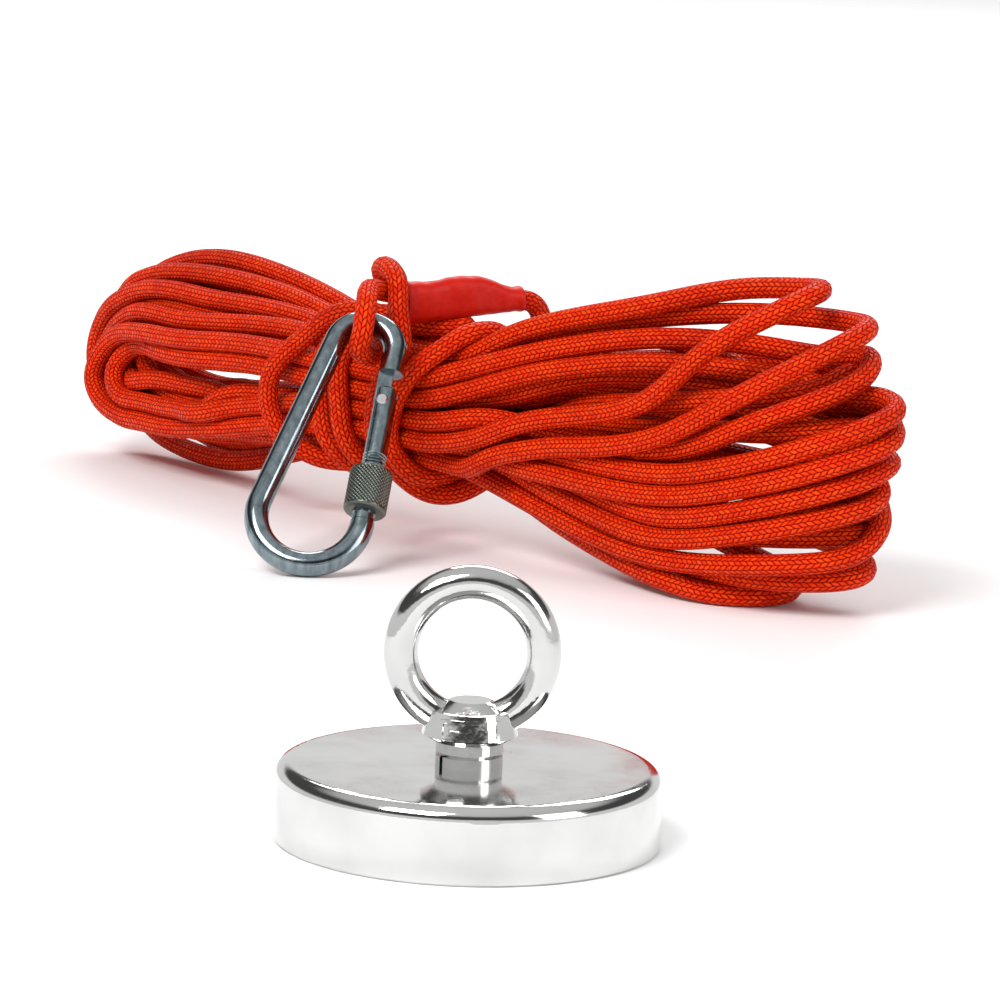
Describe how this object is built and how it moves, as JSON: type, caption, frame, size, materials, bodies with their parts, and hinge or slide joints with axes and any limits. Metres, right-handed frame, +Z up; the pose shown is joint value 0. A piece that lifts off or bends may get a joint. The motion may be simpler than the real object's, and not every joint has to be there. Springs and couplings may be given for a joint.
{
  "type": "fishing magnet kit",
  "caption": "Round single-sided pot magnet with a screwed-in lifting eye, and a hank of braided rope ending in a sleeved eye with a screw-lock snap hook.",
  "frame": {"origin": "centre of the magnet's pulling face, on the surface that the magnet and the rope lie on", "axes": "+Z up along the eye bolt, -Z out of the pulling face; +Y from the magnet towards the rope hank; the eye's opening faces +Y and -Y"},
  "size_m": [0.2647, 0.5931, 0.0918],
  "materials": {
    "nickel_plate": "mirror-polished nickel plating",
    "nickel_core": "machined steel, nickel plated",
    "magnet_alloy": "nickel-plated sintered magnet",
    "casting_resin": "poured dark resin",
    "spring_steel": "dark spring steel",
    "zinc_plate": "bright zinc plating",
    "knurled_steel": "cross-knurled, zinc plated",
    "orange_braid": "braided polypropylene rope",
    "red_shrink": "shrunk plastic tube",
    "melted_braid": "heat-sealed rope end"
  },
  "bodies": {
    "magnet": {"steel_pot": "nickel_plate", "pole_core": "nickel_core", "neodymium_ring": "magnet_alloy", "outer_resin": "casting_resin", "inner_resin": "casting_resin"},
    "washer": {"lock_washer": "spring_steel"},
    "eye": {"eyebolt": "nickel_plate"},
    "rope": {"rope_eye": "orange_braid", "shrink_tube": "red_shrink", "rope_lead": "orange_braid", "rope_hank": "orange_braid", "rope_wraps": "orange_braid", "rope_tip": "melted_braid"},
    "hook": {"carabiner_body": "zinc_plate"},
    "hook_gate": {"gate": "zinc_plate", "gate_rivet": "spring_steel", "gate_spring": "spring_steel", "gate_plunger": "spring_steel"},
    "hook_sleeve": {"lock_sleeve": "knurled_steel"}
  },
  "joints": [
    {"name": "eyebolt_rise", "type": "slide", "parent": "magnet", "child": "washer", "axis": [0, 0, 1], "range_m": [0, 0.0045]},
    {"name": "eyebolt_turn", "type": "hinge", "parent": "washer", "child": "eye", "pos_m": [0, 0, 0.018], "axis": [0, 0, 1], "range_deg": [0, 1080]},
    {"name": "hank_lift", "type": "slide", "parent": "magnet", "child": "rope", "axis": [0, 0, 1], "range_m": [0, 0.15]},
    {"name": "carabiner_swing", "type": "hinge", "parent": "rope", "child": "hook", "pos_m": [-0.035, 0.361, 0.06802], "axis": [-0.9833, 0.1097, 0.1455], "range_deg": [0, 95]},
    {"name": "gate_open", "type": "hinge", "parent": "hook", "child": "hook_gate", "pos_m": [-0.03067, 0.34478, 0.0465], "axis": [0, 0.7986, -0.6018], "range_deg": [0, 25], "stiffness_Nm_per_rad": 0.05, "springref_deg": -17.19},
    {"name": "sleeve_travel", "type": "slide", "parent": "hook_gate", "child": "hook_sleeve", "axis": [0.1257, 0.597, 0.7923], "range_m": [-0.0028, 0.006]}
  ],
  "couplings": [
    {"joint": "eyebolt_rise", "follows": "eyebolt_turn", "m_per_rad": 0.00023873}
  ]
}
